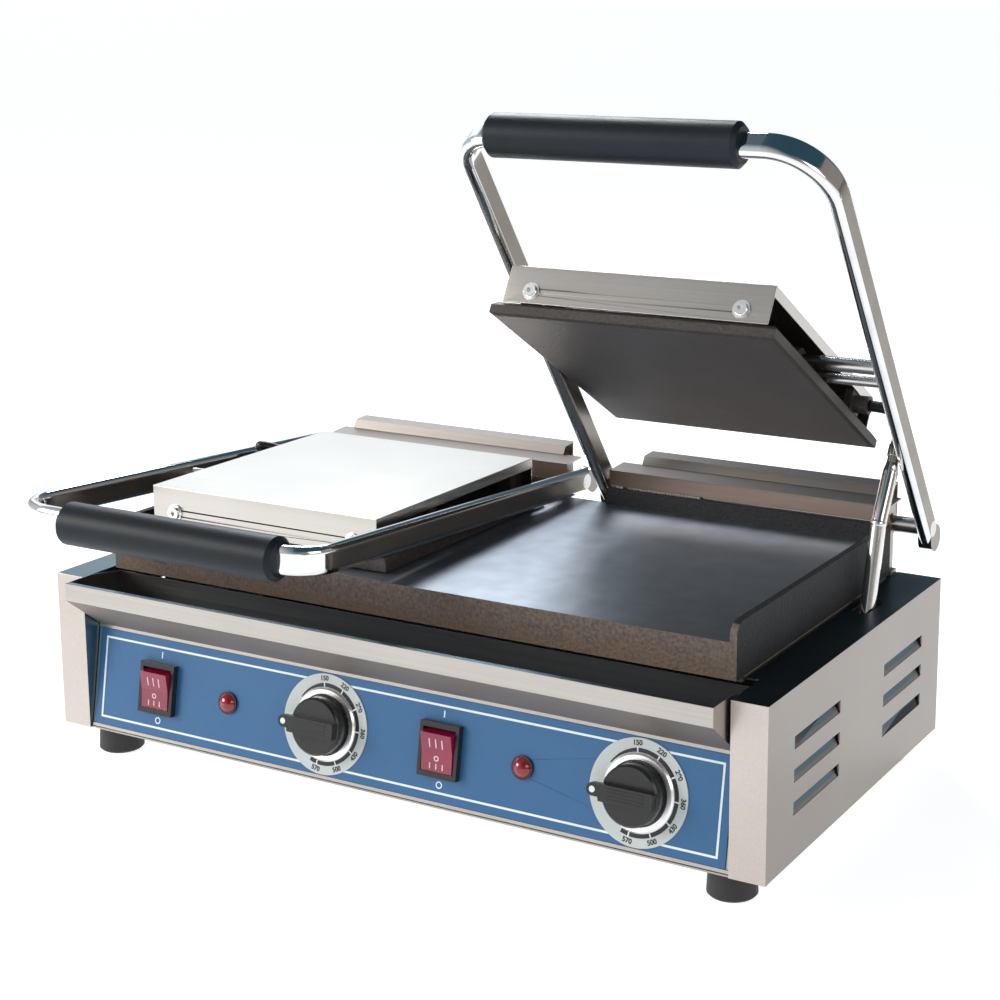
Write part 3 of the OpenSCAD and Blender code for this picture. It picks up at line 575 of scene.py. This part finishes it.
# %% Dial rings and numbers
NUMBERS = (("150", 96.0), ("220", 63.5), ("290", 31.0), ("360", -1.5), ("430", -34.0),
           ("500", -66.5), ("570", -99.0))
RING_IN, RING_OUT, NUMBER_R, TICK_GAP = 25.9, 28.6, 31.7, 1.3
FACE_LOW, FACE_HIGH = 0.82, 0.95
NUMERAL_SIZE, NUMERAL_RISE, NUMERAL_WEIGHT = 4.6, 0.06, 0.14
TAPER_ARC, TAPER_DROP, TAPER_STEPS, LAST_ARC = 46, 1.9, 20, 12
TICK_IN, TICK_OUT, TICK_HALF = 0.2, 0.5, 0.7


def numeral(text):
    curve = bpy.data.curves.new("numeral", "FONT")
    curve.body, curve.size, curve.extrude = text, NUMERAL_SIZE * MM, NUMERAL_RISE * MM
    curve.align_x, curve.align_y = "CENTER", "CENTER"
    curve.offset = NUMERAL_WEIGHT * MM
    holder = bpy.data.objects.new("numeral", curve)
    bpy.context.scene.collection.objects.link(holder)
    bpy.context.view_layer.update()
    made = bpy.data.meshes.new_from_object(holder)
    bpy.data.objects.remove(holder)
    return made


def joined(name, parts):
    """One mesh from several (mesh, place) pairs."""
    corners, faces = [], []
    for mesh, place in parts:
        first = len(corners)
        corners += [place @ vertex.co for vertex in mesh.vertices]
        faces += [[first + index for index in face.vertices] for face in mesh.polygons]
    made = bpy.data.meshes.new(name)
    made.from_pydata(corners, [], faces)
    return made


def number_place(angle):
    turn = math.radians(angle)
    upright = angle - 90 if angle > -20 else angle + 90
    return (Matrix.Translation((NUMBER_R * MM * math.cos(turn), NUMBER_R * MM * math.sin(turn),
                                FACE_LOW * MM + NUMERAL_RISE * MM))
            @ Matrix.Rotation(math.radians(upright), 4, "Z"))


def on_ring(radius, angle):
    return radius * math.cos(math.radians(angle)), radius * math.sin(math.radians(angle))


angles = [angle for _, angle in NUMBERS]
arcs = [sector(RING_IN, RING_OUT, first - TICK_GAP, second + TICK_GAP)
        for first, second in zip(angles, angles[1:])]
arcs.append(sector(RING_IN, RING_OUT, angles[-1] - TICK_GAP, angles[-1] - LAST_ARC))
taper = [(angles[0] + TICK_GAP + TAPER_ARC * i / TAPER_STEPS, i / TAPER_STEPS)
         for i in range(TAPER_STEPS + 1)]
arcs.append([on_ring(RING_OUT - TAPER_DROP * part, angle) for angle, part in taper]
            + [on_ring(RING_IN, angle) for angle, _ in reversed(taper)])
ticks = [sector(RING_IN - TICK_IN, RING_OUT + TICK_OUT, angle - TICK_HALF, angle + TICK_HALF, 2)
         for angle in angles]
for side, _ in SIDES:
    numbers = joined("numbers", [(numeral(text), number_place(angle)) for text, angle in NUMBERS])
    piece(f"{side}_dial_numbers", numbers, "dial_black", "cabinet",
          dial_place[side])
    piece(f"{side}_dial_arcs", slab(arcs, FACE_LOW, FACE_HIGH), "dial_black", "cabinet",
          dial_place[side])
    piece(f"{side}_dial_ticks", slab(ticks, FACE_LOW, FACE_HIGH), "panel_white", "cabinet",
          dial_place[side])
print("each dial has", len(NUMBERS), "numbers")

# %% [markdown]
# A white dot on each knob's nose points at its dial, and four fine ribs run along the top of
# the bar that fingers grip. Both turn with the knob.

# %% Knob marks
NOSE_MM, NOSE_TOP, GRIP_TOP = 25.8, 14.4, 19.0
DOT_R, DOT_RISE = 2.1, 0.25
GRIP_END, GRIP_RIB_W, GRIP_RIB_Y = 13, 0.7, (-3.6, -1.6, 0.9, 2.9)
GRIP_RIB_ROOT, GRIP_RIB_RISE = 0.1, 0.3
for side, _ in SIDES:
    dot = [[(x - NOSE_MM, y) for x, y in sector(0.02, DOT_R, 0, 360, 28)]]
    piece(f"{side}_knob_dot", slab(dot, NOSE_TOP, NOSE_TOP + DOT_RISE), "panel_white",
          f"{side}_knob", dial_place[side])
    ribs = [bar(-GRIP_END, GRIP_END, y, y + GRIP_RIB_W) for y in GRIP_RIB_Y]
    piece(f"{side}_knob_ribs",
          slab(ribs, GRIP_TOP - GRIP_RIB_ROOT, GRIP_TOP + GRIP_RIB_RISE), "black_moulding",
          f"{side}_knob", dial_place[side])
print("knob dots at", NOSE_MM, "mm")

# %% [markdown]
# The lit rockers are clear red caps with moulded ribs, a stroke for on at the top and a ring
# for off below it. The same two marks are printed on the panel above and below each switch.

# %% Switch marks
ROCKER_TILT = math.radians(10)
RIDGE_TOP, FACE_RISE, FACE_RUN = 5.6, 1.4, 13.4
RIB_X, RIB_HALF_W, RIB_RISE = (-5.0, 0.0, 5.0), 0.35, 0.35
UPPER_RIB, LOWER_RIB, ON_STROKE = (3.2, 9.6), (-11.6, -7.6), (21.6, 26.2)


def rocker_face(side, slope):
    """The rocker's upper (slope 1) or lower (slope -1) face, from its joint."""
    pivot = panel_frame(f"{side}_rocker_tip", 0) @ Matrix.Rotation(ROCKER_TILT, 4, "X")
    rise = math.atan2(FACE_RISE, FACE_RUN)
    return (pivot @ Matrix.Translation((0, 0, RIDGE_TOP * MM))
            @ Matrix.Rotation(slope * rise, 4, "X"))


def rocker_ribs(span):
    return [bar(x - RIB_HALF_W, x + RIB_HALF_W, *span) for x in RIB_X]


def off_ring(inner, outer, drop):
    """The ring that stands for off, as two half rings below the middle of the switch."""
    return [[(x, y - drop) for x, y in sector(inner, outer, half, half + 180, 14)]
            for half in (0, 180)]


for side, _ in SIDES:
    body, slot_name = f"{side}_rocker", "red_rocker"
    piece(f"{side}_rocker_on", slab(rocker_ribs(UPPER_RIB), 0.0, RIB_RISE), "rocker_marks",
          body, rocker_face(side, 1))
    piece(f"{side}_rocker_off",
          slab(rocker_ribs(LOWER_RIB) + off_ring(1.2, 1.9, 4.2), 0.0, RIB_RISE),
          "rocker_marks", body, rocker_face(side, -1))
    marks = [bar(-0.5, 0.5, *ON_STROKE)] + off_ring(1.7, 2.5, 24.0)
    piece(f"{side}_switch_print", slab(marks, PRINT_LOW, PRINT_HIGH), "panel_white",
          "cabinet", panel_frame(f"{side}_rocker_tip", ROCKER_LIFT))
print("marked", len(SIDES), "switches")

# %% [markdown]
# From each conduit a short black cable carries on in one soft bend to the gland at the back
# of the head. It is fixed at both ends, and is built in place.

# %% Head cables
def sweep(points, radius, sides=20):
    """A round closed tube along a list of points."""
    corners, faces = [], []
    for i, point in enumerate(points):
        ahead = points[min(i + 1, len(points) - 1)] - points[max(i - 1, 0)]
        ahead.normalize()
        first = ahead.cross(Vector((0, 1, 0))).normalized()
        second = first.cross(ahead)
        for k in range(sides):
            turn = 2 * math.pi * k / sides
            corners.append(point + radius * (math.cos(turn) * first + math.sin(turn) * second))
    for i in range(len(points) - 1):
        for k in range(sides):
            here, after = i * sides + k, i * sides + (k + 1) % sides
            faces.append((here, after, after + sides, here + sides))
    faces.append(tuple(range(sides - 1, -1, -1)))
    faces.append(tuple(range(len(corners) - sides, len(corners))))
    made = bpy.data.meshes.new("tube")
    made.from_pydata(corners, [], faces)
    made.shade_smooth()
    return made


def bend_between(ends, handles, count=28):
    """Points along one smooth curve, which leaves and arrives towards its two handles."""
    (start, finish), (leave, arrive) = ends, handles
    route = []
    for i in range(count + 1):
        t = i / count
        route.append((1 - t) ** 3 * start + 3 * t * (1 - t) ** 2 * leave
                     + 3 * t * t * (1 - t) * arrive + t ** 3 * finish)
    return route


def middle_of(spots):
    return sum(spots, Vector()) / len(spots)


CABLE_R = 4.0 * MM
NECK_MM, LEAVE_MM, ARRIVE_MM = 8.3, 22, 18
for side, way in SIDES:
    pin = Vector(joints[f"{side}_conduit_pivot"]["pos_m"])
    spots = [vertex.co.copy() for vertex in nodes[f"{side}_head_cable"].data.vertices]
    inlet_x = min(spots, key=lambda spot: abs(spot.x)).x
    inlet = middle_of([spot for spot in spots if abs(spot.x - inlet_x) < 0.5 * MM])
    foot = min(spots, key=lambda spot: spot.z)
    neck = middle_of([spot for spot in spots if (spot - foot).length < 2.2 * CABLE_R])
    rise = (neck - pin).normalized()
    rise.x = 0
    rise.normalize()
    neck = pin + rise * NECK_MM * MM
    route = bend_between((neck - rise * MM, inlet),
                         (neck + rise * LEAVE_MM * MM,
                          inlet + Vector((way * ARRIVE_MM * MM, 0, 0))))
    cable = piece(f"{side}_cable_bend", sweep(route, CABLE_R), "cable_sheath",
                  f"{side}_lever")
    cable.parent = None
    cable.matrix_world = Matrix.Identity(4)
    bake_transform(cable)
    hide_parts(f"{side}_head_cable")
    print(side, "cable from", [round(v, 3) for v in neck], "to", [round(v, 3) for v in inlet])

# %% [markdown]
# The machine stands on a wide, softly glowing white floor in a dim room. The ceiling is deep
# blue, the wall on the right is warm and dull, and one bright window stands behind on the
# left: the chrome and the oiled plate need all three to look like metal.

# %% Floor and light
FLOOR_R, FLOOR_SIDES, FLOOR_Z = 60.0, 96, -0.0003
rim = [(FLOOR_R * math.cos(2 * math.pi * i / FLOOR_SIDES),
        FLOOR_R * math.sin(2 * math.pi * i / FLOOR_SIDES), FLOOR_Z) for i in range(FLOOR_SIDES)]
floor_mesh = bpy.data.meshes.new("floor")
floor_mesh.from_pydata(rim, [], [tuple(range(FLOOR_SIDES))])
floor_mesh.materials.append(finishes["floor_white"])
floor = bpy.data.objects.new("floor", floor_mesh)
bpy.context.scene.collection.objects.link(floor)


class Sky(Graph):
    """The room round the machine, by direction."""

    def __init__(self, name):
        self.world = bpy.data.worlds.new(name)
        self.world.use_nodes = True
        self.tree = self.world.node_tree
        self.place = self.node("ShaderNodeTexCoord", {}, {}, "Generated")


room = Sky("room")
across, depth, rise = (room.axis(name) for name in "XYZ")
ceiling = room.mix(room.ramp(rise, 0.05, 0.6), (0.20, 0.24, 0.27), (0.030, 0.075, 0.105))
walls = room.mix(room.ramp(across, 0.15, 0.8) * (rise < 0.6), ceiling, (0.30, 0.265, 0.23))
walls = room.mix(room.ramp(across * -1.0 - depth * 0.6, 0.2, 0.9), walls, (0.62, 0.63, 0.64))
WINDOW_EDGE, WINDOW_LEAN, LEAN_LEVEL = math.radians(28.6), 0.35, 0.27
SILL, LINTEL, FAR_JAMB = 0.08, 0.62, 0.80
past_edge = (across * -math.cos(WINDOW_EDGE) - depth * math.sin(WINDOW_EDGE)
             + (LEAN_LEVEL - rise) * WINDOW_LEAN)
pane = (room.ramp(past_edge, 0.0, 0.035) * room.ramp(rise, SILL, 2 * SILL)
        * room.ramp(LINTEL - rise, 0.0, 0.1) * (across * -1.0 < FAR_JAMB) * (depth > 0.0))
glow = room.mix(pane, walls, (1.15, 1.25, 1.32))
glow = room.mix(room.ramp(0.05 - rise, 0.0, 0.02), glow, (1.0, 1.0, 1.0))
room.tree.links.new(glow.socket, room.tree.nodes["Background"].inputs["Color"])
bpy.context.scene.world = room.world


def softbox(name, spot, target, width, height, power, tone=(1.0, 1.0, 1.0)):
    box_light = bpy.data.lights.new(name, "AREA")
    box_light.shape, box_light.size, box_light.size_y = "RECTANGLE", width, height
    box_light.energy, box_light.color = power, tone
    holder = bpy.data.objects.new(name, box_light)
    holder.location = spot
    holder.rotation_euler = (Vector(target) - Vector(spot)).to_track_quat("-Z", "Y").to_euler()
    bpy.context.scene.collection.objects.link(holder)


softbox("key", (-2.3, -1.8, 1.3), (0, 0, 0.2), 1.6, 1.2, 62.0, (1.0, 0.97, 0.93))
softbox("fill", (2.2, -1.0, 1.2), (0, 0, 0.15), 1.4, 1.0, 12.0, (1.0, 0.96, 0.92))
softbox("gleam", (-1.05, 1.25, 1.65), (0.0, -0.05, 0.15), 0.8, 0.7, 32.0, (0.94, 0.97, 1.0))
bpy.context.scene.view_settings.view_transform = "Standard"

# %% [markdown]
# The last cell says that the scene is ready.


print("scene ready")
